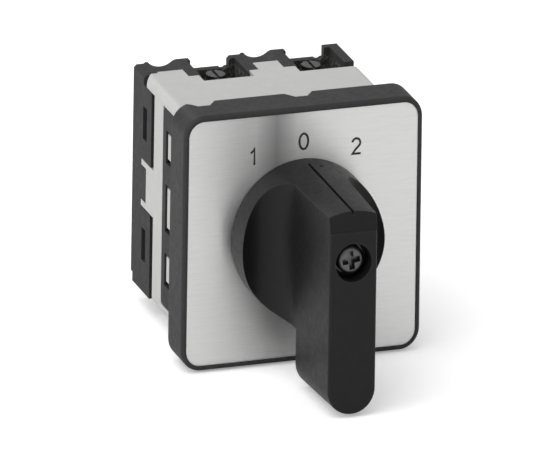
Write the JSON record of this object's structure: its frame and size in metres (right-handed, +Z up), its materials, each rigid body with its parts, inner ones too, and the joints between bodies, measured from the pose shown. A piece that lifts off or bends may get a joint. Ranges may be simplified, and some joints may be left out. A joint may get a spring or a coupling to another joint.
{
  "type": "manual transfer switch",
  "caption": "Panel-mounted rotary manual transfer switch with a square legend plate, a pistol-grip handle, three positions and a stack of cam-operated contact stages.",
  "frame": {"origin": "where the shaft axis crosses the bezel's rear face, the panel plane", "axes": "+X right as seen from the front, +Z up, +Y into the panel, away from the handle"},
  "size_m": [0.048, 0.0661, 0.0482],
  "materials": {
    "bezel_black": "fine satin",
    "plate_brushed": "brushed",
    "knob_black": "fine satin",
    "housing_black": "matt moulded",
    "housing_grey": "matt moulded",
    "seal_rubber": "matt",
    "cam_acetal": "waxy",
    "zinc_steel": "zinc plated",
    "dark_steel": "blackened",
    "spring_steel": "drawn wire",
    "contact_brass": "stamped",
    "contact_silver": "satin silver"
  },
  "bodies": {
    "housing": {"bezel_frame": "bezel_black", "legend_plate": "plate_brushed", "front_frame": "housing_black", "contact_housing": "housing_black", "detent_cover": "housing_black", "rear_cover": "housing_black", "stage_divider": "housing_black", "grey_housing": "housing_grey", "shaft_seal": "seal_rubber", "tie_screws": "zinc_steel", "tie_nuts": "zinc_steel", "terminal_screws": "dark_steel", "terminal_washers": "dark_steel", "detent_top_spring": "spring_steel", "detent_bottom_spring": "spring_steel", "stage1_top_spring": "spring_steel", "stage1_bottom_spring": "spring_steel", "stage2_top_spring": "spring_steel", "stage2_bottom_spring": "spring_steel", "stage1_fixed_contacts": "contact_brass", "stage2_fixed_contacts": "contact_brass", "stage1_fixed_tips": "contact_silver", "stage2_fixed_tips": "contact_silver"},
    "rotor": {"handle_knob": "knob_black", "handle_screw": "dark_steel", "lock_washer": "dark_steel", "clamp_wedge": "zinc_steel", "drive_shaft": "zinc_steel", "shaft_circlip": "zinc_steel", "stop_arm": "cam_acetal", "detent_star": "cam_acetal", "stage1_cam": "cam_acetal", "stage2_cam": "cam_acetal"},
    "stage1_top_contact": {"stage1_top_carrier": "cam_acetal", "stage1_top_bridge": "contact_brass", "stage1_top_tips": "contact_silver"},
    "stage1_bottom_contact": {"stage1_bottom_carrier": "cam_acetal", "stage1_bottom_bridge": "contact_brass", "stage1_bottom_tips": "contact_silver"},
    "stage2_top_contact": {"stage2_top_carrier": "cam_acetal", "stage2_top_bridge": "contact_brass", "stage2_top_tips": "contact_silver"},
    "stage2_bottom_contact": {"stage2_bottom_carrier": "cam_acetal", "stage2_bottom_bridge": "contact_brass", "stage2_bottom_tips": "contact_silver"},
    "detent_top": {"detent_top_slider": "cam_acetal", "detent_top_roller": "zinc_steel", "detent_top_pin": "zinc_steel"},
    "detent_bottom": {"detent_bottom_slider": "cam_acetal", "detent_bottom_roller": "zinc_steel", "detent_bottom_pin": "zinc_steel"}
  },
  "joints": [
    {"name": "handle_turn", "type": "hinge", "parent": "housing", "child": "rotor", "pos_m": [0, 0, 0], "axis": [0, -1, 0], "range_deg": [-30, 30]},
    {"name": "stage1_top_travel", "type": "slide", "parent": "housing", "child": "stage1_top_contact", "axis": [0, 0, 1], "range_m": [-0.0012, 0.0012], "deforming": ["stage1_top_spring"]},
    {"name": "stage1_bottom_travel", "type": "slide", "parent": "housing", "child": "stage1_bottom_contact", "axis": [0, 0, -1], "range_m": [-0.0012, 0.0012], "deforming": ["stage1_bottom_spring"]},
    {"name": "stage2_top_travel", "type": "slide", "parent": "housing", "child": "stage2_top_contact", "axis": [0, 0, 1], "range_m": [-0.0012, 0.0012], "deforming": ["stage2_top_spring"]},
    {"name": "stage2_bottom_travel", "type": "slide", "parent": "housing", "child": "stage2_bottom_contact", "axis": [0, 0, -1], "range_m": [-0.0012, 0.0012], "deforming": ["stage2_bottom_spring"]},
    {"name": "detent_top_travel", "type": "slide", "parent": "housing", "child": "detent_top", "axis": [0, 0, -1], "range_m": [0, 0.0011], "deforming": ["detent_top_spring"]},
    {"name": "detent_bottom_travel", "type": "slide", "parent": "housing", "child": "detent_bottom", "axis": [0, 0, 1], "range_m": [0, 0.0011], "deforming": ["detent_bottom_spring"]}
  ],
  "couplings": [
    {"joint": "stage1_top_travel", "follows": "handle_turn", "m_per_rad": -0.00229},
    {"joint": "stage1_bottom_travel", "follows": "handle_turn", "m_per_rad": 0.00229},
    {"joint": "stage2_top_travel", "follows": "handle_turn", "m_per_rad": -0.00229},
    {"joint": "stage2_bottom_travel", "follows": "handle_turn", "m_per_rad": 0.00229}
  ]
}
